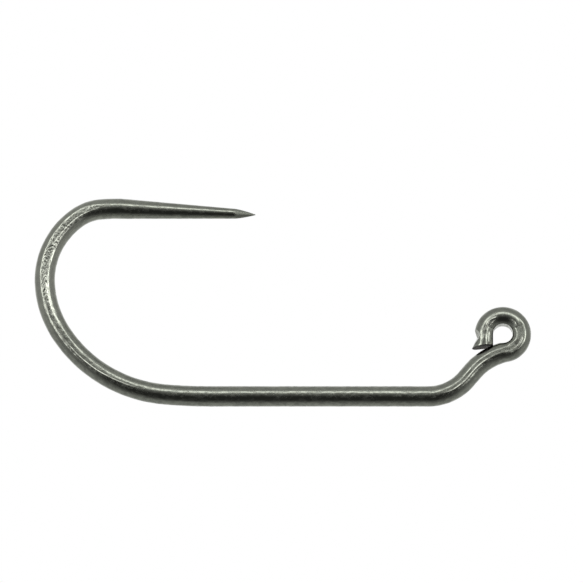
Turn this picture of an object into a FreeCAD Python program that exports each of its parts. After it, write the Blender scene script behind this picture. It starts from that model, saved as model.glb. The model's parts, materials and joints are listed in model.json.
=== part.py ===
import FreeCAD, Part
import math
import os

# Barbless jig hook, size 8 to 10: one length of round high-carbon wire, bent in the XZ plane.
# Frame: origin at the centre of the eye's hole, +X from the bend towards the eye, +Z towards
# the point's side, Y across the wire's plane. Millimetres and degrees.
#
# The hook is a single wire. It is divided at its natural landmarks into regions that meet
# face to face: eye, neck, shank, heel_bend, front_bend, spear and point.

# Wire
WIRE_DIA = 0.65

# Eye: a ring closed round a mandrel, its sides pressed flat
EYE_OUTER_DIA = 1.80
EYE_BORE_DIA = 0.63
EYE_THICKNESS = 0.60
EYE_ARC_END = 175.3          # ring angle where the wire stops following the mandrel
EYE_NECK_SPLIT = 30.0        # slope of the wire where the neck ends and the eye begins
TAIL_INNER_X = -0.310        # the wire's last stretch is straightened and thinned inside
CUT_FACE_X = -0.605          # centre of the wire's sheared end
CUT_FACE_Z = -0.396
CUT_FACE_SLOPE = 7.0
NOTCH_NEAR_DEPTH = 0.188     # nick that the cutter leaves outside the sheared end, at -Y
NOTCH_FAR_DEPTH = 0.066      # shallower at +Y
NOTCH_HEIGHT = 0.64          # its height at the ring's outer surface, at -Y
NOTCH_CENTRE_Z = -0.065

# Neck: rises from the shank's axis to the ring, then eases back towards level
SHANK_DROP = 2.024           # eye centre down to the shank's axis
NECK_RISE_ANGLE = 49.9
NECK_BEND_RADIUS = 1.590
NECK_EASE_RADIUS = 1.94
NECK_ENTRY_ANGLE = 11.9      # slope of the wire where it joins the ring

# Shank
SHANK_LENGTH = 6.91

# Bend: tangent arcs from the shank to the spear, each a radius and a sweep
HEEL_ARCS = ((16.4, 5.2), (4.37, 53.9), (3.30, 28.45))
FRONT_ARCS = ((2.51, 56.2), (1.48, 29.4), (4.25, 9.4))
BEND_THICKNESS = 0.605       # the bend's two sides are forged flat between crowned dies
DIE_CROWN_RADIUS = 214.0
DIE_CENTRE_Z = 1.24          # where the forged sides are widest; they die out above and below

# Spear and point
SPEAR_LENGTH = 3.59
SPEAR_ROOT_DIA = 0.648
SPEAR_TIP_DIA = 0.325
POINT_LENGTH = 0.72
POINT_MID_SHARE = 0.66       # along the point, where its curved flank is measured
POINT_MID_RADIUS = 0.077
POINT_TIP_RADIUS = 0.008
POINT_DROOP = 0.5            # the point is ground a little towards the shank
POINT_BANDS = 4              # lengths that the point's flank is divided into

# Construction
WIRE_RADIUS = WIRE_DIA / 2
BORE_RADIUS = EYE_BORE_DIA / 2
RING_RADIUS = EYE_OUTER_DIA / 2 - WIRE_RADIUS
CLEAR = 3.0                  # reach of a cutting block past the wire
Y_AXIS = FreeCAD.Vector(0, 1, 0)


def direction(heading):
    """Unit vector in the XZ plane, heading degrees up from +X."""
    angle = math.radians(heading)
    return FreeCAD.Vector(math.cos(angle), 0, math.sin(angle))


def disc(centre, heading, radius):
    """Round section of the wire, facing along the heading."""
    circle = Part.makeCircle(radius, centre, direction(heading))
    return Part.Face(Part.Wire(circle))


def bend_wire(start, heading, radius, sweep, wire_radius):
    """Wire bent through sweep degrees (positive turns towards +Z). Returns solid, end, heading."""
    side = 90 if sweep > 0 else -90
    centre = start + direction(heading + side) * radius
    solid = disc(start, heading, wire_radius).revolve(centre, -Y_AXIS, sweep)
    end = centre + direction(heading + sweep - side) * radius
    return solid, end, heading + sweep


def straight_wire(start, heading, length, radius):
    """Straight length of wire. Returns solid and end."""
    along = direction(heading)
    return Part.makeCylinder(radius, length, start, along), start + along * length


def join(solids):
    """One solid out of lengths of wire that meet face to face."""
    whole = solids[0]
    for solid in solids[1:]:
        whole = whole.fuse(solid)
    return whole.removeSplitter().Solids[0]


def pressed(solid, thickness):
    """The solid with both sides pressed flat, thickness across Y."""
    box = solid.BoundBox
    corner = FreeCAD.Vector(box.XMin - CLEAR, -thickness / 2, box.ZMin - CLEAR)
    slab = Part.makeBox(box.XLength + 2 * CLEAR, thickness, box.ZLength + 2 * CLEAR, corner)
    return solid.common(slab).Solids[0]


def forged(solid):
    """The solid with both sides pressed flat by dies crowned along Z."""
    box = solid.BoundBox
    for side in (-1, 1):
        offset = side * (BEND_THICKNESS / 2 + DIE_CROWN_RADIUS)
        start = FreeCAD.Vector(box.XMin - CLEAR, offset, DIE_CENTRE_Z)
        length = box.XLength + 2 * CLEAR
        die = Part.makeCylinder(DIE_CROWN_RADIUS, length, start, direction(0))
        solid = solid.cut(die)
    return solid.Solids[0]


def plan_neck():
    """Start of the neck's bend, length of its rise and start of the ring, from the eye's centre."""
    rise = direction(NECK_RISE_ANGLE)
    entry = direction(NECK_ENTRY_ANGLE)
    ring_start = direction(NECK_ENTRY_ANGLE - 90) * RING_RADIUS
    ease_x = NECK_EASE_RADIUS * (rise.z - entry.z)
    ease_z = NECK_EASE_RADIUS * (entry.x - rise.x)
    ease_start = ring_start - FreeCAD.Vector(ease_x, 0, ease_z)
    bend_z = NECK_BEND_RADIUS * (1 - rise.x)
    rise_length = (ease_start.z + SHANK_DROP - bend_z) / rise.z
    rise_start = ease_start - rise * rise_length
    bend_start = rise_start - FreeCAD.Vector(NECK_BEND_RADIUS * rise.z, 0, bend_z)
    return bend_start, rise_length, ring_start


def make_neck(bend_start, rise_length):
    bend, end, heading = bend_wire(bend_start, 0, NECK_BEND_RADIUS, NECK_RISE_ANGLE, WIRE_RADIUS)
    rise, end = straight_wire(end, heading, rise_length, WIRE_RADIUS)
    turn = EYE_NECK_SPLIT - NECK_RISE_ANGLE
    ease, end, heading = bend_wire(end, heading, NECK_EASE_RADIUS, turn, WIRE_RADIUS)
    return join([bend, rise, ease]), end


def cutter_block():
    """Everything beyond the sheared face: a box whose top is the face's plane."""
    block = Part.makeBox(CLEAR / 2, CLEAR, CLEAR, FreeCAD.Vector(-CLEAR / 4, -CLEAR / 2, -CLEAR))
    block.rotate(FreeCAD.Vector(0, 0, 0), Y_AXIS, -CUT_FACE_SLOPE)
    block.translate(FreeCAD.Vector(CUT_FACE_X, 0, CUT_FACE_Z))
    return block


def tail_block():
    """Everything on the bore's side of the straightened tail."""
    return Part.makeBox(CLEAR, CLEAR, CLEAR, FreeCAD.Vector(TAIL_INNER_X, -CLEAR / 2, -CLEAR / 2))


def notch_block():
    """Wedge nicked out of the ring's outside, just above the sheared end."""
    outside = -EYE_OUTER_DIA / 2
    root = FreeCAD.Vector(outside + NOTCH_NEAR_DEPTH, -EYE_THICKNESS / 2, NOTCH_CENTRE_Z)
    twice_out = root + FreeCAD.Vector(-2 * NOTCH_NEAR_DEPTH, 0, 0)
    top = twice_out + FreeCAD.Vector(0, 0, NOTCH_HEIGHT)
    bottom = twice_out - FreeCAD.Vector(0, 0, NOTCH_HEIGHT)
    face = Part.Face(Part.makePolygon([root, top, bottom, root]))
    across = FreeCAD.Vector(NOTCH_FAR_DEPTH - NOTCH_NEAR_DEPTH, EYE_THICKNESS, 0)
    face.translate(-across / 4)
    return face.extrude(across * 3 / 2)


def make_eye(neck_end, ring_start):
    turn = NECK_ENTRY_ANGLE - EYE_NECK_SPLIT
    ease = bend_wire(neck_end, EYE_NECK_SPLIT, NECK_EASE_RADIUS, turn, WIRE_RADIUS)[0]
    sweep = EYE_ARC_END + 90 - NECK_ENTRY_ANGLE
    ring, end, heading = bend_wire(ring_start, NECK_ENTRY_ANGLE, RING_RADIUS, sweep, WIRE_RADIUS)
    tail_length = end.z - CUT_FACE_Z + WIRE_RADIUS
    tail = straight_wire(end, heading, tail_length, WIRE_RADIUS)[0]
    trimmed_tail = tail.cut(cutter_block()).cut(tail_block())
    hooked_end = ring.fuse(trimmed_tail).cut(notch_block())
    mandrel = Part.makeCylinder(BORE_RADIUS, 2 * CLEAR, FreeCAD.Vector(0, -CLEAR, 0), Y_AXIS)
    loop = ease.fuse(hooked_end).cut(mandrel)
    return pressed(loop, EYE_THICKNESS)


def make_bend(start, heading, arcs):
    solids = []
    end = start
    for radius, sweep in arcs:
        solid, end, heading = bend_wire(end, heading, radius, -sweep, WIRE_RADIUS)
        solids.append(solid)
    return forged(join(solids)), end, heading


def make_spear(start, heading):
    along = direction(heading)
    cone = Part.makeCone(SPEAR_ROOT_DIA / 2, SPEAR_TIP_DIA / 2, SPEAR_LENGTH, start, along)
    return cone, start + along * SPEAR_LENGTH


def make_point(start, heading):
    """Ground point: a curved flank turned about the spear's axis, ending needle sharp."""
    along = direction(heading)
    across = direction(heading + 90)
    root = start + across * (SPEAR_TIP_DIA / 2)
    middle = start + along * (POINT_LENGTH * POINT_MID_SHARE) + across * POINT_MID_RADIUS
    tip = start + along * POINT_LENGTH
    tip_edge = tip + across * POINT_TIP_RADIUS
    flank = Part.Arc(root, middle, tip_edge).toShape()
    first, last = flank.ParameterRange
    cuts = [first + (last - first) * band / POINT_BANDS for band in range(1, POINT_BANDS)]
    bands = flank.split(cuts).Edges
    end = Part.LineSegment(tip_edge, tip).toShape()
    axis = Part.LineSegment(tip, start).toShape()
    base = Part.LineSegment(start, root).toShape()
    profile = Part.Face(Part.Wire(bands + [end, axis, base]))
    return profile.revolve(start, along, 360)


def build():
    bend_start, rise_length, ring_start = plan_neck()
    neck, neck_end = make_neck(bend_start, rise_length)
    eye = make_eye(neck_end, ring_start)
    shank, shank_end = straight_wire(bend_start, 180, SHANK_LENGTH, WIRE_RADIUS)
    heel_bend, heel_end, heading = make_bend(shank_end, 180, HEEL_ARCS)
    front_bend, front_end, heading = make_bend(heel_end, heading, FRONT_ARCS)
    spear, spear_end = make_spear(front_end, heading)
    point = make_point(spear_end, heading - POINT_DROOP)
    return {
        "eye": eye,
        "neck": neck,
        "shank": shank,
        "heel_bend": heel_bend,
        "front_bend": front_bend,
        "spear": spear,
        "point": point,
    }


def main():
    os.makedirs("parts", exist_ok=True)
    for name, shape in build().items():
        shape.exportStep("parts/" + name + ".step")
        box = shape.BoundBox
        print(name, "volume %.4f" % shape.Volume, "valid", shape.isValid(), "solids", len(shape.Solids))
        print("   x %.3f %.3f" % (box.XMin, box.XMax), "y %.3f %.3f" % (box.YMin, box.YMax),
              "z %.3f %.3f" % (box.ZMin, box.ZMax))


main()
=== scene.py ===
import json
import math

import bpy
import numpy as np
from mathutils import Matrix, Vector

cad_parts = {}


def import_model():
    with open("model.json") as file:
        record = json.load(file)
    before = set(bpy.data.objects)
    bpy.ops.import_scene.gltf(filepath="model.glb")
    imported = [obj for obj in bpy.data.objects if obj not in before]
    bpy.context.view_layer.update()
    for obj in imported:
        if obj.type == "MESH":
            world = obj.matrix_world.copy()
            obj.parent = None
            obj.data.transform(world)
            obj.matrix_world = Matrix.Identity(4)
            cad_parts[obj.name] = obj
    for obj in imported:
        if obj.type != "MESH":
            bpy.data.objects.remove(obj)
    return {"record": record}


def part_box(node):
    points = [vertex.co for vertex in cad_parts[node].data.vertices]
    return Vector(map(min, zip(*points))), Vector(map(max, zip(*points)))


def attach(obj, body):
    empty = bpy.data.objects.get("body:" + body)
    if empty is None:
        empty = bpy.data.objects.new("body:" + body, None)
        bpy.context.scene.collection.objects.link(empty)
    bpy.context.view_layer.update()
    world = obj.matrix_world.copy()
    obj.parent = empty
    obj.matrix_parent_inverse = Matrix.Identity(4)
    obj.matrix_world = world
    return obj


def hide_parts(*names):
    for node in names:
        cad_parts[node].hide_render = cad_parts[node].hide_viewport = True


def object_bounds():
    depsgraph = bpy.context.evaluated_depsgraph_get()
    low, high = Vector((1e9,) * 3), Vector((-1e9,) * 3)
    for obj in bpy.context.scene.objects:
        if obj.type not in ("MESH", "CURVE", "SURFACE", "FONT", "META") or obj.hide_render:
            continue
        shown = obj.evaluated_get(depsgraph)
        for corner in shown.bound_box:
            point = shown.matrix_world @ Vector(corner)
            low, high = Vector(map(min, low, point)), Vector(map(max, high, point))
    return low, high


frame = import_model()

# A barbless jig hook: one bent, forged and plated wire. The CAD frame divides the wire into seven
# regions, and each region gets a detailed mesh here. Neighbours share their end rings and their
# normals, so the surface runs on unbroken from one region to the next.
# Metres throughout: +X from the bend to the eye, +Z towards the point's side, Y across the wire.

MM = 0.001

CAD_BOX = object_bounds()
MIDDLE_X = (CAD_BOX[0][0] + CAD_BOX[1][0]) / 2

# ---------------------------------------------------------------- sizes, from the frame
EYE_LOW, EYE_HIGH = (np.array(corner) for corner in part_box("eye"))
SHANK_LOW, SHANK_HIGH = (np.array(corner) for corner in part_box("shank"))
MOUNTS = {mount["name"]: mount for mount in frame["record"]["mounts"]}
EYE_CENTRE = np.array(MOUNTS["eye"]["pos_m"])
BORE_RADIUS = MOUNTS["eye"]["dims"]["r_mm"] * MM
WIRE_RADIUS = (SHANK_HIGH[2] - SHANK_LOW[2]) / 2
SHANK_DROP = EYE_CENTRE[2] - (SHANK_HIGH[2] + SHANK_LOW[2]) / 2
SHANK_LENGTH = SHANK_HIGH[0] - SHANK_LOW[0]
RING_RADIUS = EYE_HIGH[2] - EYE_CENTRE[2] - WIRE_RADIUS
EYE_THICKNESS = EYE_HIGH[1] - EYE_LOW[1]

# ---------------------------------------------------------------- shape of the wire's line
NECK_RISE_ANGLE = 49.9
NECK_BEND_RADIUS = 1.590 * MM
NECK_EASE_RADIUS = 1.94 * MM
NECK_ENTRY_ANGLE = 11.9
EYE_NECK_SPLIT = 30.0
EYE_ARC_END = 175.3
CUT_FACE_Z = -0.396 * MM
CUT_FACE_SLOPE = 7.0
HEEL_ARCS = ((16.4 * MM, 5.2), (4.37 * MM, 53.9), (3.30 * MM, 28.45))
FRONT_ARCS = ((2.51 * MM, 56.2), (1.48 * MM, 29.4), (4.25 * MM, 9.4))
SPEAR_LENGTH = 3.59 * MM
SPEAR_ROOT_RADIUS = 0.324 * MM
SPEAR_TIP_RADIUS = 0.1625 * MM
POINT_LENGTH = 0.72 * MM
POINT_DROOP = 0.5
POINT_TIP_RADIUS = 0.008 * MM
POINT_FLANK_POWER = 1.45
SWAGE_LENGTH = 0.5 * MM          # the full wire narrows to the spear's root over this
GRIND_EDGE = 0.12 * MM           # the point's ground finish starts over this

# ---------------------------------------------------------------- forged and pressed sides
SOFT_EDGE = 1.2                  # rounding of a facet's edges, as a share of its depth
CRISP_EDGE = 0.3
FACET_EDGE = 0.004 * MM          # depth over which a facet's texture takes over from the wire's
FACET_LEAST = 0.02               # half width below which there is no facet

# Facets round the eye, along the neck and on the bend, on both sides alike. Each is a list of
# steps (place, value, across, half width). The value is a ring angle in degrees for the eye, or a
# share of the length for the neck and the bend. Across and half width are shares of the wire's
# radius: across is 0 in the middle of the side, and positive towards the left of the travel.
EYE_FACET = (("ring", 47.0, 0.06, 0.0), ("ring", 38.0, 0.05, 0.28), ("ring", 22.0, -0.01, 0.38),
             ("ring", 0.0, 0.02, 0.36), ("ring", -25.0, 0.05, 0.32), ("ring", -45.0, 0.0, 0.38),
             ("ring", -62.0, 0.05, 0.38), ("ring", -76.0, 0.03, 0.28), ("neck", -0.10, 0.0, 0.0))
TAIL_FACET = (("ring", 221.0, -0.48, 0.26), ("ring", 176.0, -0.48, 0.26),
              ("ring", 158.0, -0.46, 0.22), ("ring", 142.0, -0.46, 0.0))
NECK_FACET = (("ring", -62.0, 0.0, 0.0), ("ring", -76.0, 0.0, 0.22), ("neck", 0.0, 0.0, 0.18),
              ("neck", 0.15, -0.01, 0.16), ("neck", 0.60, -0.01, 0.16), ("neck", 0.74, -0.02, 0.18),
              ("neck", 0.86, -0.05, 0.0))
BEND_FACET = (("bend", 0.18, -0.04, 0.0), ("bend", 0.24, -0.03, 0.14), ("bend", 0.34, -0.02, 0.175),
              ("bend", 0.46, -0.01, 0.20), ("bend", 0.52, 0.03, 0.19), ("bend", 0.57, 0.02, 0.15),
              ("bend", 0.615, 0.08, 0.20), ("bend", 0.66, 0.085, 0.265),
              ("bend", 0.71, -0.02, 0.36), ("bend", 0.81, -0.05, 0.37),
              ("bend", 0.87, 0.0, 0.36), ("bend", 0.92, 0.06, 0.26), ("bend", 0.97, 0.10, 0.0))

# Raised lines that pressing left, on both sides alike: steps (place, value, across, height in mm).
RIDGE_WIDTH = 0.020 * MM
WORN_HEIGHT = 0.006 * MM         # the plating is worn through on a line of this height
RIDGES = (
    # from the ring down the whole neck
    (("ring", -8.0, 0.16, 0.0), ("ring", -18.0, 0.17, 0.009), ("ring", -42.0, 0.19, 0.009),
     ("ring", -60.0, 0.20, 0.003), ("neck", -0.10, 0.20, 0.002), ("neck", 0.02, 0.21, 0.007),
     ("neck", 0.20, 0.19, 0.012), ("neck", 0.55, 0.18, 0.012), ("neck", 0.68, 0.21, 0.007),
     ("neck", 0.80, 0.15, 0.003), ("neck", 0.92, 0.14, 0.0)),
    # its faint neighbour, farther from the point's side
    (("ring", -20.0, 0.36, 0.0), ("ring", -50.0, 0.40, 0.003), ("neck", 0.10, 0.45, 0.002),
     ("neck", 0.60, 0.42, 0.003), ("neck", 0.80, 0.45, 0.0)),
    # inner side of the ring, where its pressed facet starts
    (("ring", 58.0, -0.20, 0.0), ("ring", 50.0, -0.23, 0.009), ("ring", 42.0, -0.25, 0.013),
     ("ring", 34.0, -0.32, 0.011), ("ring", 27.0, -0.38, 0.006), ("ring", 21.0, -0.42, 0.0)),
    # inner side of the ring, where it turns into the neck
    (("ring", -28.0, -0.30, 0.0), ("ring", -40.0, -0.38, 0.005), ("ring", -60.0, -0.42, 0.006),
     ("ring", -76.0, -0.34, 0.0)),
    # two creases that cross on the straightened end
    (("ring", 168.0, 0.30, 0.0), ("ring", 176.0, 0.22, 0.009), ("ring", 190.0, 0.02, 0.010),
     ("ring", 206.0, -0.25, 0.008), ("ring", 218.0, -0.42, 0.0)),
    (("ring", 172.0, -0.20, 0.0), ("ring", 182.0, -0.05, 0.009), ("ring", 198.0, 0.20, 0.010),
     ("ring", 212.0, 0.38, 0.0)),
    # two lines from the straightened end round the ring
    (("ring", 180.0, 0.0, 0.0), ("ring", 166.0, -0.04, 0.005), ("ring", 140.0, 0.0, 0.009),
     ("ring", 120.0, -0.12, 0.012), ("ring", 106.0, -0.12, 0.0)),
    (("ring", 158.0, -0.32, 0.0), ("ring", 148.0, -0.32, 0.006), ("ring", 138.0, -0.32, 0.008),
     ("ring", 126.0, -0.30, 0.0)),
    # two lines on the heel
    (("bend", 0.19, 0.10, 0.0), ("bend", 0.26, 0.13, 0.007), ("bend", 0.34, 0.23, 0.012),
     ("bend", 0.41, 0.24, 0.011), ("bend", 0.47, 0.24, 0.008), ("bend", 0.54, 0.24, 0.0)),
    (("bend", 0.30, 0.43, 0.0), ("bend", 0.34, 0.43, 0.004), ("bend", 0.47, 0.42, 0.004),
     ("bend", 0.52, 0.40, 0.0)),
    # the inner half of the front bend
    (("bend", 0.75, -0.22, 0.0), ("bend", 0.79, -0.24, 0.008), ("bend", 0.855, -0.24, 0.010),
     ("bend", 0.89, -0.23, 0.008), ("bend", 0.93, -0.20, 0.0)),
    (("bend", 0.68, -0.32, 0.0), ("bend", 0.71, -0.34, 0.007), ("bend", 0.76, -0.29, 0.007),
     ("bend", 0.81, -0.35, 0.009), ("bend", 0.86, -0.36, 0.006), ("bend", 0.89, -0.40, 0.005),
     ("bend", 0.93, -0.42, 0.0)),
    # the inner edge of the flat, in the middle of the bend and then on the front bend
    (("bend", 0.50, -0.12, 0.0), ("bend", 0.55, -0.10, 0.008), ("bend", 0.62, -0.09, 0.007),
     ("bend", 0.66, -0.10, 0.005), ("bend", 0.71, -0.16, 0.0)),
    (("bend", 0.74, -0.42, 0.0), ("bend", 0.78, -0.44, 0.007), ("bend", 0.825, -0.46, 0.007),
     ("bend", 0.87, -0.51, 0.009), ("bend", 0.90, -0.52, 0.0)),
)

# ---------------------------------------------------------------- nick and burr at the eye's end
NOTCH_NEAR_DEPTH = 0.188 * MM
NOTCH_FAR_DEPTH = 0.066 * MM
NOTCH_HALF_HEIGHT = 0.32 * MM
NOTCH_CENTRE_Z = -0.065 * MM
TAIL_LIMIT = 0.9 * MM            # the straightened end lies within this of the sheared face
BURR_LENGTH = 0.10 * MM
BURR_REACH = 0.045 * MM

# ---------------------------------------------------------------- unevenness of the surface
# Wavelengths are in mm, one for all directions or one each along, across and to the side.
FINE_WAVE = 0.095
FINER_WAVE = 0.05
DRAWN_WAVES = (0.9, 0.07, 0.07)
BEATEN_WAVES = (0.15, 0.10, 0.10)
PIT_WAVES = (0.044, 0.034, 0.034)
COARSE_PIT_WAVES = (0.09, 0.05, 0.05)
CREASE_WAVES = (0.13, 0.09, 0.09)
# Heights and depths, in mm.
FINE_HEIGHT = 0.0011
DRAWN_HEIGHT = 0.0008
BEATEN_HEIGHT = 0.0020
PRESSED_HEIGHT = 0.0014
PIT_DEPTH = 0.0012
STRUCK_PIT_DEPTH = 0.0050        # more where the bend was struck hardest
CREASE_HEIGHT = 0.006
CREASE_LENGTH = 0.35 * MM        # from the sheared face; they fade over as much again
GROUND_SMOOTHING = 0.8           # share of the unevenness that grinding takes off
GROUND_START = 0.3               # share of the point over which it does

# ---------------------------------------------------------------- colours of the metal
SMOKE_DARK = (0.212, 0.225, 0.196, 1)
SMOKE_PALE = (0.298, 0.315, 0.271, 1)
WARM_SPECK = (0.44, 0.41, 0.30, 1)
WORN_EDGE = (0.49, 0.50, 0.44, 1)
STRETCHED_PLATING = (0.45, 0.465, 0.405, 1)
# The sheared face's colours are painted shade: near-black metal standing in for the shadow between
# the face and the neck.
SHEARED_SHADE_DARK = (0.015, 0.012, 0.009, 1)
SHEARED_SHADE_PALE = (0.045, 0.037, 0.028, 1)

# ---------------------------------------------------------------- studio
# Angles are in degrees. Tilts are above the camera's axis, as the camera sees it.
OPENING_TILT = -22.0
OPENING_EDGE = (15.0, 82.0)      # from the dark middle out to the full tent
OPENING_STRENGTH = 0.045
TENT_STRENGTH = 0.55
BACK_EDGE = (112.0, 160.0)       # the tent brightens behind the hook, away from the camera
BACK_STRENGTH = 0.42
ARCH_TILT = 12.0
ARCH_RADIUS = 39.0
ARCH_WIDTH = 9.0
ARCH_FOOT = (-0.16, 0.18)        # fades out over this, as the sine of the angle above level
ARCH_TOP_STRENGTH = 2.15
ARCH_SIDE_STRENGTH = 3.3
ARCH_SIDE_START = 0.75           # full side strength, as the cosine of the angle above level
ARCH_LEAN = 0.5                  # more on the right, and as much less on the left
LAMP_SIZE = 0.12
LAMP_HEIGHT = 0.15
LAMP_POWER = 0.10
FLOOR_REACH = 1.0
FLOOR_GAP = 0.004 * MM
FLOOR_FADE = (0.03, 0.12)        # distances from the hook

# ---------------------------------------------------------------- mesh density
AROUND = 144
RING_STEPS = {
    "eye": 0.0115 * MM,
    "neck": 0.016 * MM,
    "shank": 0.017 * MM,
    "heel_bend": 0.0165 * MM,
    "front_bend": 0.016 * MM,
    "spear": 0.016 * MM,
    "point": 0.010 * MM,
}

# ---------------------------------------------------------------- camera
CAMERA_ELEVATION = -14.0
CAMERA_LENS = 600
FRAME_WIDTH = 1.1750             # times the hook's length
AIM_RIGHT = 0.0177               # aim past the middle of the hook's box, as a share of its length
AIM_UP = 0.0525                  # and of its height


def smoothstep(x):
    x = np.clip(x, 0.0, 1.0)
    return x * x * (3 - 2 * x)


def unit(heading):
    """Unit vector in the XZ plane, heading degrees up from +X."""
    angle = math.radians(heading)
    return np.array([math.cos(angle), 0.0, math.sin(angle)])


# ================================================================= uneven surface
def lattice_value(x, y, z, seed):
    """Repeatable value from -1 to 1 for each whole-number lattice point."""
    mask = np.uint64(0xFFFFFFFF)
    mixed = (x.astype(np.int64).astype(np.uint64) * np.uint64(374761393)
             + y.astype(np.int64).astype(np.uint64) * np.uint64(668265263)
             + z.astype(np.int64).astype(np.uint64) * np.uint64(2246822519)
             + np.uint64(seed * 3266489917 % 4294967296)) & mask
    mixed = ((mixed ^ (mixed >> np.uint64(13))) * np.uint64(1274126177)) & mask
    mixed = ((mixed ^ (mixed >> np.uint64(16))) * np.uint64(2654435761)) & mask
    mixed = mixed ^ (mixed >> np.uint64(15))
    return mixed.astype(np.float64) / 2147483647.5 - 1.0


def noise(points, wavelength, seed):
    """Smooth noise from about -1 to 1. wavelength is a length, or one for each axis."""
    scaled = points / np.asarray(wavelength)
    cell = np.floor(scaled)
    part = scaled - cell
    ease = part ** 3 * (part * (part * 6 - 15) + 10)
    total = np.zeros(points.shape[:-1])
    for i in (0, 1):
        for j in (0, 1):
            for k in (0, 1):
                weight = np.ones(points.shape[:-1])
                for axis, side in enumerate((i, j, k)):
                    weight = weight * (ease[..., axis] if side else 1 - ease[..., axis])
                corner = lattice_value(cell[..., 0] + i, cell[..., 1] + j, cell[..., 2] + k, seed)
                total += weight * corner
    return total


# ================================================================= the wire's centre line
class Line:
    """Centre line of the wire as straight and curved stretches, travelled from the eye's sheared
    end to the point."""

    def __init__(self, start, heading):
        self.position = np.array(start, float)
        self.heading = heading
        self.travelled = 0.0
        self.stretches = []
        self.marks = {}

    def mark(self, name):
        self.marks[name] = self.travelled

    def straight(self, region, length):
        self.stretches.append((region, length, self.position.copy(), self.heading, 0.0))
        self.position = self.position + unit(self.heading) * length
        self.travelled += length

    def arc(self, region, radius, sweep):
        length = radius * math.radians(abs(sweep))
        curvature = math.copysign(1 / radius, sweep)
        self.stretches.append((region, length, self.position.copy(), self.heading, curvature))
        centre = self.position + unit(self.heading + 90) / curvature
        self.heading += sweep
        self.position = centre - unit(self.heading + 90) / curvature
        self.travelled += length


def wire_line():
    """The ring turns clockwise from its sheared end, then the neck leads down to the shank."""
    ring_end = EYE_CENTRE + unit(EYE_ARC_END) * RING_RADIUS
    tail_heading = EYE_ARC_END - 90
    tail_length = (ring_end[2] - EYE_CENTRE[2] - CUT_FACE_Z) / math.sin(math.radians(tail_heading))
    line = Line(ring_end - unit(tail_heading) * tail_length, tail_heading)
    line.straight("eye", tail_length)
    line.mark("ring")
    line.arc("eye", RING_RADIUS, -(EYE_ARC_END + 90 - NECK_ENTRY_ANGLE))
    line.arc("eye", NECK_EASE_RADIUS, EYE_NECK_SPLIT - NECK_ENTRY_ANGLE)
    line.mark("neck")
    line.arc("neck", NECK_EASE_RADIUS, NECK_RISE_ANGLE - EYE_NECK_SPLIT)
    rise = math.radians(NECK_RISE_ANGLE)
    bend_height = NECK_BEND_RADIUS * (1 - math.cos(rise))
    rise_height = line.position[2] - (EYE_CENTRE[2] - SHANK_DROP) - bend_height
    line.straight("neck", rise_height / math.sin(rise))
    line.arc("neck", NECK_BEND_RADIUS, -NECK_RISE_ANGLE)
    line.mark("shank")
    line.straight("shank", SHANK_LENGTH)
    line.mark("bend")
    for radius, sweep in HEEL_ARCS:
        line.arc("heel_bend", radius, -sweep)
    for radius, sweep in FRONT_ARCS:
        line.arc("front_bend", radius, -sweep)
    line.mark("spear")
    line.straight("spear", SPEAR_LENGTH)
    line.mark("point")
    line.heading -= POINT_DROOP
    line.straight("point", POINT_LENGTH)
    return line


def ring_at(region, before, start, heading, curvature, distance):
    turned = heading + math.degrees(curvature * distance)
    if curvature:
        centre = start + (unit(heading + 90) - unit(turned + 90)) / curvature
    else:
        centre = start + unit(heading) * distance
    return region, before + distance, centre, turned


def sample(line):
    """Rings along the line: region, distance travelled, centre and heading of each."""
    rings = []
    travelled = 0.0
    for region, length, start, heading, curvature in line.stretches:
        count = max(2, round(length / RING_STEPS[region]))
        for step in range(count):
            share = length * step / count
            rings.append(ring_at(region, travelled, start, heading, curvature, share))
        travelled += length
    region, length, start, heading, curvature = line.stretches[-1]
    rings.append(ring_at(region, travelled - length, start, heading, curvature, length))
    return rings


# ================================================================= the wire's section
def wire_radius(along, marks):
    """Full wire up to the spear, then the taper and the curved flank of the point."""
    swage = smoothstep((along - (marks["spear"] - SWAGE_LENGTH)) / SWAGE_LENGTH)
    radius = WIRE_RADIUS + (SPEAR_ROOT_RADIUS - WIRE_RADIUS) * swage
    taper = np.clip((along - marks["spear"]) / SPEAR_LENGTH, 0, 1)
    radius = radius + (SPEAR_TIP_RADIUS - SPEAR_ROOT_RADIUS) * taper
    flank = np.clip((along - marks["point"]) / POINT_LENGTH, 0, 1) ** POINT_FLANK_POWER
    return radius + (POINT_TIP_RADIUS - SPEAR_TIP_RADIUS) * flank


def travelled_to(place, value, marks):
    """Distance along the wire of a ring angle, or of a share of the neck or of the bend."""
    if place == "ring":
        return marks["ring"] + RING_RADIUS * math.radians(EYE_ARC_END - value)
    end = {"neck": "shank", "bend": "spear"}[place]
    return marks[place] + (marks[end] - marks[place]) * value


def follow(steps, along, marks):
    """Two values at each ring, blended from the steps that they are given at."""
    places = [travelled_to(step[0], step[1], marks) for step in steps]
    first = np.interp(along, places, [step[2] for step in steps])
    second = np.interp(along, places, [step[3] for step in steps])
    return first, second


def section_angles(across):
    """Angle round the section of a line on the near side and of its twin on the far side."""
    tilt = np.arcsin(np.clip(across, -1, 1))
    return 1.5 * math.pi + tilt, 0.5 * math.pi - tilt


def smooth_min(a, b, rounding):
    blend = np.clip(0.5 + 0.5 * (b - a) / rounding, 0, 1)
    return b * (1 - blend) + a * blend - rounding * blend * (1 - blend)


def cut_flat(section, theta, angle, distance, rounding):
    """The section with a flat cut across it, that far from its middle. Also how deep it cuts."""
    facing = np.cos(theta - angle)
    reach = np.where(facing > 0.2, distance / np.maximum(facing, 0.2), 1.0)
    depth = np.maximum(section - reach, 0)
    return smooth_min(section, reach, rounding), depth


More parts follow.
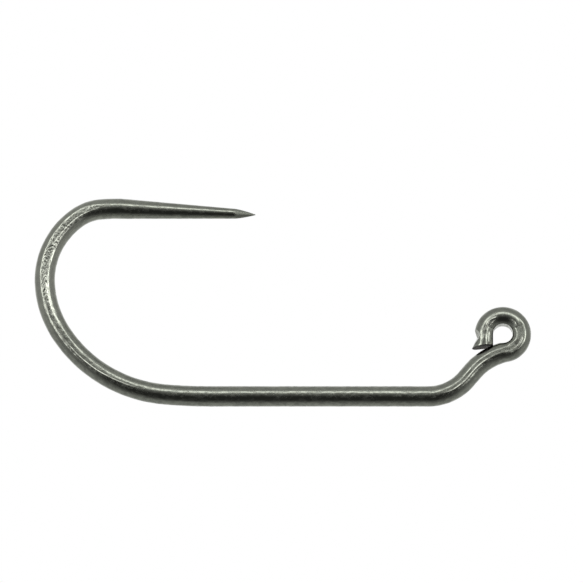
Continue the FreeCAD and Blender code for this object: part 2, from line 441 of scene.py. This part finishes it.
def facets(section, along, marks, radius, theta, steps, softness):
    """Cut a facet and its twin into the section of every ring. Returns where they are."""
    cut = np.zeros_like(section)
    across, half_width = follow(steps, along, marks)
    there = half_width > FACET_LEAST
    distance = radius[there] * np.sqrt(1 - half_width[there, None] ** 2)
    rounding = softness * (radius[there] - distance)
    for angle in section_angles(across[there, None]):
        section[there], depth = cut_flat(section[there], theta, angle, distance, rounding)
        cut[there] = np.maximum(cut[there], smoothstep(depth / FACET_EDGE))
    return cut


def ridges(along, marks, radius, theta):
    """Height of the raised lines."""
    height = np.zeros((len(along), len(theta)))
    for steps in RIDGES:
        across, rise = follow(steps, along, marks)
        there = rise > 0
        for angle in section_angles(across[there, None]):
            turn = (theta - angle + math.pi) % (2 * math.pi) - math.pi
            gap = turn * radius[there] / RIDGE_WIDTH
            height[there] += rise[there, None] * MM * np.exp(-gap ** 2)
    return height


def build_grid():
    line = wire_line()
    marks = line.marks
    rings = sample(line)
    region = np.array([ring[0] for ring in rings])
    along = np.array([ring[1] for ring in rings])
    centre = np.array([ring[2] for ring in rings])
    outward = np.array([unit(ring[3] + 90) for ring in rings])
    tangent = np.array([unit(ring[3]) for ring in rings])
    theta = np.linspace(0, 2 * math.pi, AROUND, endpoint=False)

    radius = wire_radius(along, marks)[:, None]
    section = np.broadcast_to(radius, (len(along), len(theta))).copy()
    pressed = facets(section, along, marks, radius, theta, EYE_FACET, SOFT_EDGE)
    on_neck = facets(section, along, marks, radius, theta, NECK_FACET, SOFT_EDGE)
    pressed = np.maximum(pressed, on_neck)
    facets(section, along, marks, radius, theta, TAIL_FACET, CRISP_EDGE)
    forged = facets(section, along, marks, radius, theta, BEND_FACET, SOFT_EDGE)
    raised = ridges(along, marks, radius, theta)
    place = section_points(along, section, theta)
    section = section + raised + unevenness(place, forged, pressed, along, marks)
    place = section_points(along, section, theta)

    points = centre[:, None, :] + place[..., 1:2] * outward[:, None, :]
    points[..., 1] += place[..., 2]
    shear_end(points, along, place, tangent, marks["ring"])
    nick_and_bore(points, region, along)
    textures = {
        "forged": forged,
        "pressed": pressed,
        "worn": np.clip(raised / WORN_HEIGHT, 0, 1),
        "ground": all_round(smoothstep((along - marks["point"]) / GRIND_EDGE)),
        "stretched": all_round(stretched(along, marks)),
    }
    return region, points, place, textures


def all_round(values):
    """One value for each ring, given to every point of the ring."""
    return np.repeat(values[:, None], AROUND, axis=1)


def section_points(along, section, theta):
    """Place of every point in the straightened wire: along it, across it and to the side."""
    lengthwise = np.broadcast_to(along[:, None], section.shape)
    return np.stack([lengthwise, section * np.cos(theta), section * np.sin(theta)], axis=-1)


def bend_share(along, marks):
    """How far along the bend each ring is, from 0 at the shank to 1 at the spear."""
    return (along - marks["bend"]) / (marks["spear"] - marks["bend"])


def stretched(along, marks):
    """Where the forging stretched the wire and thinned its plating, from 0 to 1."""
    bend = bend_share(along, marks)
    return smoothstep((bend - 0.47) / 0.12) * (1 - smoothstep((bend - 0.90) / 0.10))


def struck(along, marks):
    """Where the dies struck hardest, from 0 to 1. Half as hard over the bend's last quarter."""
    bend = bend_share(along, marks)
    return smoothstep((bend - 0.46) / 0.14) * (1 - 0.5 * smoothstep((bend - 0.74) / 0.1))


def unevenness(place, forged, pressed, along, marks):
    """Fine ups and downs: drawn lines all along the wire, pits where it was forged, and creases
    at the sheared end."""
    fine = noise(place, FINE_WAVE * MM, 11) * 0.65 + noise(place, FINER_WAVE * MM, 12) * 0.35
    drawn = noise(place, np.array(DRAWN_WAVES) * MM, 13)
    beaten = noise(place, np.array(BEATEN_WAVES) * MM, 14)
    pits = noise(place, np.array(PIT_WAVES) * MM, 15)
    pits += 0.7 * noise(place, np.array(COARSE_PIT_WAVES) * MM, 16)
    creases = noise(place, np.array(CREASE_WAVES) * MM, 18)

    along_point = (along - marks["point"]) / POINT_LENGTH
    left = 1 - GROUND_SMOOTHING * smoothstep(along_point / GROUND_START)[:, None]
    height = left * (FINE_HEIGHT * fine + DRAWN_HEIGHT * drawn + BEATEN_HEIGHT * beaten)
    height += forged * (PIT_DEPTH + STRUCK_PIT_DEPTH * struck(along, marks)[:, None]) * pits
    height += pressed * PRESSED_HEIGHT * drawn
    creased = 1 - smoothstep((along - CREASE_LENGTH) / CREASE_LENGTH)
    height += CREASE_HEIGHT * creases * creased[:, None]
    return height * MM


def shear_end(points, along, place, tangent, tail_length):
    """Slant the first rings to the plane of the sheared face, and drag a burr over its outside."""
    slope = math.radians(CUT_FACE_SLOPE + 90 - (EYE_ARC_END - 90))
    near_end = np.clip(1 - along / tail_length, 0, 1)[:, None]
    tilt = -place[..., 1] * math.tan(slope) * smoothstep(near_end)
    points += tilt[..., None] * tangent[:, None, :]
    lip = smoothstep(1 - along / BURR_LENGTH)[:, None]
    outer = smoothstep((place[..., 1] / WIRE_RADIUS - 0.15) / 0.7)
    burr = lip ** 2 * outer * BURR_REACH
    points[..., 0] -= burr
    points[..., 2] -= burr * 0.5


def nick_and_bore(points, region, along):
    """Cutter's nick outside the ring, and the land that the mandrel leaves inside it."""
    eye = region == "eye"
    x = points[eye][..., 0] - EYE_CENTRE[0]
    y = points[eye][..., 1] - EYE_CENTRE[1]
    z = points[eye][..., 2] - EYE_CENTRE[2]
    across = np.clip(y / EYE_THICKNESS + 0.5, 0, 1)
    depth = NOTCH_NEAR_DEPTH + (NOTCH_FAR_DEPTH - NOTCH_NEAR_DEPTH) * across
    rise = np.abs(z - NOTCH_CENTRE_Z) / NOTCH_HALF_HEIGHT
    root = depth - NOTCH_NEAR_DEPTH * rise ** 1.1 - RING_RADIUS - WIRE_RADIUS
    x = np.maximum(x, root)

    from_axis = np.sqrt(x ** 2 + z ** 2)
    inside = from_axis < BORE_RADIUS
    stretch = np.where(inside, BORE_RADIUS / np.maximum(from_axis, 1e-9), 1)
    tail = (along[eye][:, None] < TAIL_LIMIT) & (z < 0)
    x_tail = np.minimum(x, -BORE_RADIUS)
    moved_x = np.where(tail, x_tail, x * stretch)
    moved_z = np.where(tail, z, z * stretch)
    eye_points = points[eye]
    eye_points[..., 0] = EYE_CENTRE[0] + moved_x
    eye_points[..., 2] = EYE_CENTRE[2] + moved_z
    points[eye] = eye_points


def grid_normals(points):
    """Outward unit normals of the whole grid, from its own neighbours."""
    lengthwise = np.gradient(points, axis=0)
    around = np.roll(points, -1, axis=1) - np.roll(points, 1, axis=1)
    normals = np.cross(lengthwise, around)
    return normals / np.maximum(np.linalg.norm(normals, axis=2, keepdims=True), 1e-30)


# ================================================================= meshes
def region_mesh(name, points, normals, place, textures):
    """A closed tube from a stretch of the grid, with its two end faces."""
    rings = len(points)
    i = np.arange(rings - 1)[:, None] * AROUND
    j = np.arange(AROUND)[None, :]
    k = (j + 1) % AROUND
    quads = np.stack([i + j, i + AROUND + j, i + AROUND + k, i + k], axis=-1).reshape(-1, 4)
    first = np.arange(AROUND)
    last = np.arange((rings - 1) * AROUND, rings * AROUND)[::-1]
    loops = np.concatenate([quads.reshape(-1), first, last]).astype(np.int32)
    starts = np.concatenate([np.arange(len(quads)) * 4, [quads.size, quads.size + AROUND]])

    mesh = bpy.data.meshes.new(name)
    mesh.vertices.add(rings * AROUND)
    mesh.vertices.foreach_set("co", points.reshape(-1).astype(np.float32))
    mesh.loops.add(len(loops))
    mesh.loops.foreach_set("vertex_index", loops)
    mesh.polygons.add(len(starts))
    mesh.polygons.foreach_set("loop_start", starts.astype(np.int32))
    mesh.polygons.foreach_set("use_smooth", np.ones(len(starts), bool))
    mesh.update(calc_edges=True)
    mesh.validate()

    loop_normals = normals.reshape(-1, 3)[loops]
    for cap in (-2, -1):
        polygon = mesh.polygons[cap]
        begin = polygon.loop_start
        loop_normals[begin:begin + AROUND] = polygon.normal
    mesh.normals_split_custom_set([tuple(n) for n in loop_normals])
    add_attribute(mesh, "wire_place", "FLOAT_VECTOR", "vector", place / MM)
    for texture, amount in textures.items():
        add_attribute(mesh, texture, "FLOAT", "value", amount)
    return mesh


def add_attribute(mesh, name, kind, field, values):
    layer = mesh.attributes.new(name, kind, "POINT")
    layer.data.foreach_set(field, values.reshape(-1).astype(np.float32))


def build_wire(material, shaded_cut_face):
    region, points, place, textures = build_grid()
    normals = grid_normals(points)
    for node in ("eye", "neck", "shank", "heel_bend", "front_bend", "spear", "point"):
        rings = np.flatnonzero(region == node)
        stretch = slice(rings[0], min(rings[-1] + 2, len(region)))
        here = {texture: amount[stretch] for texture, amount in textures.items()}
        mesh = region_mesh("wire_" + node, points[stretch], normals[stretch], place[stretch], here)
        mesh.materials.append(material)
        if node == "eye":
            # The sheared end face takes the material with the near-black painted shade.
            mesh.materials.append(shaded_cut_face)
            mesh.polygons[-2].material_index = 1
        piece = bpy.data.objects.new("wire_" + node, mesh)
        bpy.context.scene.collection.objects.link(piece)
        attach(piece, "root")
        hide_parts(node)


# ================================================================= materials
class Graph:
    """Short names for building a node tree."""

    def __init__(self, tree):
        self.tree = tree

    def node(self, kind, **settings):
        made = self.tree.nodes.new(kind)
        for name, value in settings.items():
            setattr(made, name, value)
        return made

    def link(self, source, target):
        if isinstance(source, (int, float, tuple)):
            target.default_value = source
        else:
            self.tree.links.new(source, target)

    def math(self, operation, *values, clamp=False):
        made = self.node("ShaderNodeMath", operation=operation, use_clamp=clamp)
        for value, socket in zip(values, made.inputs):
            self.link(value, socket)
        return made.outputs[0]

    def vector(self, operation, a, b, result=0):
        made = self.node("ShaderNodeVectorMath", operation=operation)
        self.link(a, made.inputs[0])
        self.link(b, made.inputs[1])
        return made.outputs[result]

    def attribute(self, name, output="Fac"):
        return self.node("ShaderNodeAttribute", attribute_name=name).outputs[output]

    def noise(self, place, scale, detail=2.0, roughness=0.5):
        made = self.node("ShaderNodeTexNoise")
        self.link(place, made.inputs["Vector"])
        made.inputs["Scale"].default_value = scale
        made.inputs["Detail"].default_value = detail
        made.inputs["Roughness"].default_value = roughness
        return made.outputs["Fac"]

    def remap(self, value, low, high, to_low, to_high, smooth=False):
        made = self.node("ShaderNodeMapRange")
        if smooth:
            made.interpolation_type = "SMOOTHSTEP"
        self.link(value, made.inputs["Value"])
        self.link(low, made.inputs["From Min"])
        self.link(high, made.inputs["From Max"])
        self.link(to_low, made.inputs["To Min"])
        self.link(to_high, made.inputs["To Max"])
        return made.outputs["Result"]

    def mix_colour(self, factor, a, b):
        made = self.node("ShaderNodeMix", data_type="RGBA")
        self.link(factor, made.inputs[0])
        self.link(a, made.inputs[6])
        self.link(b, made.inputs[7])
        return made.outputs[2]


def black_nickel():
    """Smoky, faintly warm plating: drawn lines and uneven gloss along the wire, and paler metal
    where the plating is worn over a raised line or stretched on the bend."""
    material = bpy.data.materials.new("black_nickel")
    material.use_nodes = True
    graph = Graph(material.node_tree)
    shader = material.node_tree.nodes["Principled BSDF"]
    shader.inputs["Metallic"].default_value = 1.0
    place = graph.attribute("wire_place", "Vector")
    forged = graph.attribute("forged")
    pressed = graph.attribute("pressed")
    worn = graph.attribute("worn")
    ground = graph.attribute("ground")

    lines = graph.noise(graph.vector("MULTIPLY", place, (1.4, 34.0, 34.0)), 1.0, 3.0, 0.6)
    mottle = graph.noise(place, 7.0, 4.0, 0.6)
    grain = graph.noise(place, 24.0, 3.0, 0.6)
    specks = graph.noise(place, 42.0, 2.0, 0.7)

    beads = graph.noise(graph.vector("MULTIPLY", place, (5.5, 8.0, 8.0)), 1.0, 2.0, 0.7)
    beads = graph.math("ADD", beads, graph.math("MULTIPLY", ground, graph.math(
        "SUBTRACT", 0.46, beads)))
    smoke = graph.mix_colour(graph.remap(beads, 0.38, 0.62, 0.0, 1.0),
                             SMOKE_DARK, SMOKE_PALE)
    warm = graph.mix_colour(graph.math("MULTIPLY", graph.remap(specks, 0.56, 0.70, 0.0, 1.0), 0.5),
                            smoke, WARM_SPECK)
    edge = graph.mix_colour(graph.math("MULTIPLY", worn, graph.remap(grain, 0.35, 0.6, 0.2, 0.8)),
                            warm, WORN_EDGE)
    colour = graph.mix_colour(graph.math("MULTIPLY", graph.attribute("stretched"), 0.23),
                              edge, STRETCHED_PLATING)
    graph.link(colour, shader.inputs["Base Color"])

    rough = graph.remap(mottle, 0.3, 0.7, 0.02, 0.08)
    rough = graph.math("ADD", rough, graph.remap(beads, 0.40, 0.58, 0.25, 0.03))
    rough = graph.math("ADD", rough, graph.math("MULTIPLY", forged, 0.08))
    rough = graph.math("ADD", rough, graph.math("MULTIPLY", ground, 0.36))
    rough = graph.math("ADD", rough, graph.math("MULTIPLY", pressed, 0.13))
    rough = graph.math("ADD", rough, graph.remap(lines, 0.3, 0.7, -0.03, 0.04))
    graph.link(rough, shader.inputs["Roughness"])

    height = graph.math("MULTIPLY", grain, 0.9)
    height = graph.math("ADD", height, graph.math("MULTIPLY", lines, 0.5))
    height = graph.math("ADD", height, graph.math("MULTIPLY", specks, graph.remap(
        forged, 0.0, 1.0, 0.15, 0.6)))
    bump = graph.node("ShaderNodeBump")
    bump.inputs["Strength"].default_value = 1.0
    bump.inputs["Distance"].default_value = 0.0022 * MM
    graph.link(height, bump.inputs["Height"])
    graph.link(bump.outputs["Normal"], shader.inputs["Normal"])
    return material


def shaded_cut_face():
    """The sheared face, cut after plating: dull brownish steel with a torn grain, its colour
    painted near-black as painted shade for the shadow between the face and the neck.
    """
    material = bpy.data.materials.new("sheared_steel")
    material.use_nodes = True
    graph = Graph(material.node_tree)
    shader = material.node_tree.nodes["Principled BSDF"]
    shader.inputs["Metallic"].default_value = 1.0
    place = graph.node("ShaderNodeTexCoord").outputs["Object"]
    torn = graph.noise(place, 22000, 4.0, 0.65)
    shade_mottle = graph.noise(place, 7000, 2.0, 0.5)
    # Painted shade: the face's colour is near-black, mottled at random between two dark tones.
    colour = graph.mix_colour(graph.remap(shade_mottle, 0.35, 0.65, 0.0, 1.0),
                              SHEARED_SHADE_DARK, SHEARED_SHADE_PALE)
    graph.link(colour, shader.inputs["Base Color"])
    graph.link(graph.remap(torn, 0.3, 0.7, 0.45, 0.7), shader.inputs["Roughness"])
    bump = graph.node("ShaderNodeBump")
    bump.inputs["Distance"].default_value = 0.006 * MM
    graph.link(torn, bump.inputs["Height"])
    graph.link(bump.outputs["Normal"], shader.inputs["Normal"])
    return material


# ================================================================= studio
def view_axes():
    """Towards the camera, to the right and up, as the camera sees them."""
    lift = math.radians(CAMERA_ELEVATION)
    front = Vector((0, -math.cos(lift), math.sin(lift)))
    up = Vector((0, math.sin(lift), math.cos(lift)))
    return front, Vector((1, 0, 0)), up


def towards(angle_up):
    """Direction that many degrees above the camera's axis, straight ahead."""
    front, right, up = view_axes()
    angle = math.radians(angle_up)
    return front * math.cos(angle) + up * math.sin(angle)


def degrees_from(graph, direction, axis):
    dot = graph.vector("DOT_PRODUCT", direction, tuple(axis), "Value")
    return graph.math("MULTIPLY", graph.math("ARCCOSINE", dot), 180 / math.pi)


def world():
    """White tent, an arch of light round the camera and a dark opening below it. The arch and the
    opening are only seen in reflections."""
    made = bpy.data.worlds.new("studio")
    bpy.context.scene.world = made
    made.use_nodes = True
    graph = Graph(made.node_tree)
    background = made.node_tree.nodes["Background"]
    direction = graph.node("ShaderNodeTexCoord").outputs["Generated"]
    front, right, up = view_axes()

    from_opening = degrees_from(graph, direction, towards(OPENING_TILT))
    from_front = degrees_from(graph, direction, front)
    tent = graph.remap(from_opening, *OPENING_EDGE, OPENING_STRENGTH, TENT_STRENGTH, smooth=True)
    behind = graph.remap(from_front, *BACK_EDGE, 0.0, BACK_STRENGTH, smooth=True)

    from_arch = degrees_from(graph, direction, towards(ARCH_TILT))
    miss = graph.math("DIVIDE", graph.math("SUBTRACT", from_arch, ARCH_RADIUS), ARCH_WIDTH)
    band = graph.math("EXPONENT", graph.math("MULTIPLY", graph.math("MULTIPLY", miss, miss), -1.0))
    h = graph.vector("DOT_PRODUCT", direction, tuple(right), "Value")
    v = graph.vector("DOT_PRODUCT", direction, tuple(up), "Value")
    off_axis = graph.math("SQRT", graph.math(
        "ADD", graph.math("ADD", graph.math("MULTIPLY", h, h), graph.math("MULTIPLY", v, v)), 1e-6))
    h_part = graph.math("DIVIDE", h, off_axis)
    v_part = graph.math("DIVIDE", v, off_axis)
    open_below = graph.remap(v_part, *ARCH_FOOT, 0.0, 1.0, smooth=True)
    sides = graph.remap(graph.math("ABSOLUTE", h_part), 0.0, ARCH_SIDE_START,
                        ARCH_TOP_STRENGTH, ARCH_SIDE_STRENGTH, smooth=True)
    strength = graph.math("ADD", sides, graph.math("MULTIPLY", h_part, ARCH_LEAN))
    arch = graph.math("MULTIPLY", graph.math("MULTIPLY", band, open_below), strength)

    lit = graph.math("ADD", graph.math("ADD", tent, behind), arch)
    path = graph.node("ShaderNodeLightPath")
    pick = graph.node("ShaderNodeMix")
    graph.link(path.outputs["Is Camera Ray"], pick.inputs[0])
    graph.link(lit, pick.inputs[2])
    pick.inputs[3].default_value = 1.0
    graph.link(pick.outputs[0], background.inputs["Strength"])
    background.inputs["Color"].default_value = (1, 1, 1, 1)


def overhead_light():
    """Large softbox that lights the floor from above."""
    data = bpy.data.lights.new("overhead", "AREA")
    data.shape = "RECTANGLE"
    data.size = LAMP_SIZE
    data.size_y = LAMP_SIZE
    data.energy = LAMP_POWER
    lamp = bpy.data.objects.new("overhead", data)
    lamp.location = (MIDDLE_X, 0.02, LAMP_HEIGHT)
    lamp.visible_camera = False
    lamp.visible_glossy = False
    bpy.context.scene.collection.objects.link(lamp)


def floor():
    """Pale round floor at the hook's lowest point, fading into the white around it."""
    reach = FLOOR_REACH
    mesh = bpy.data.meshes.new("floor")
    z = CAD_BOX[0][2] - FLOOR_GAP
    corners = [(-reach, -reach, z), (reach, -reach, z), (reach, reach, z), (-reach, reach, z)]
    mesh.from_pydata(corners, [], [(0, 1, 2, 3)])
    material = bpy.data.materials.new("floor")
    material.use_nodes = True
    graph = Graph(material.node_tree)
    shader = material.node_tree.nodes["Principled BSDF"]
    shader.inputs["Base Color"].default_value = (0.88, 0.88, 0.88, 1)
    shader.inputs["Roughness"].default_value = 0.9
    shader.inputs["Emission Color"].default_value = (1, 1, 1, 1)
    shader.inputs["Emission Strength"].default_value = 0.25
    place = graph.node("ShaderNodeTexCoord").outputs["Object"]
    distance = graph.vector("DISTANCE", place, (MIDDLE_X, 0.0, z), "Value")
    fade = graph.remap(distance, *FLOOR_FADE, 0.0, 1.0, smooth=True)
    below = graph.node("ShaderNodeNewGeometry").outputs["Backfacing"]
    clear = graph.node("ShaderNodeBsdfTransparent")
    mixed = graph.node("ShaderNodeMixShader")
    graph.link(graph.math("MAXIMUM", fade, below), mixed.inputs[0])
    graph.link(shader.outputs[0], mixed.inputs[1])
    graph.link(clear.outputs[0], mixed.inputs[2])
    output = material.node_tree.nodes["Material Output"]
    graph.link(mixed.outputs[0], output.inputs["Surface"])
    mesh.materials.append(material)
    obj = bpy.data.objects.new("floor", mesh)
    obj.visible_glossy = False
    obj.visible_shadow = False
    bpy.context.scene.collection.objects.link(obj)


def camera():
    """Square to the hook from left to right, and looking up at it a little from below."""
    low = np.array(CAD_BOX[0])
    high = np.array(CAD_BOX[1])
    size = high - low
    front, right, up = view_axes()
    middle = (low + high) / 2
    aim = Vector(middle + np.array([AIM_RIGHT * size[0], 0, AIM_UP * size[2]]))
    frame_width = FRAME_WIDTH * size[0]
    data = bpy.data.cameras.new("camera")
    data.lens = CAMERA_LENS
    data.sensor_width = 36
    obj = bpy.data.objects.new("camera", data)
    distance = frame_width * data.lens / data.sensor_width
    data.clip_start = distance * 0.1
    data.clip_end = distance * 100
    obj.location = aim + front * distance
    obj.rotation_mode = "QUATERNION"
    obj.rotation_quaternion = front.to_track_quat("Z", "Y")
    bpy.context.scene.collection.objects.link(obj)
    bpy.context.scene.camera = obj


camera()
world()
overhead_light()
floor()
build_wire(black_nickel(), shaded_cut_face())
bpy.context.scene.view_settings.view_transform = "Standard"
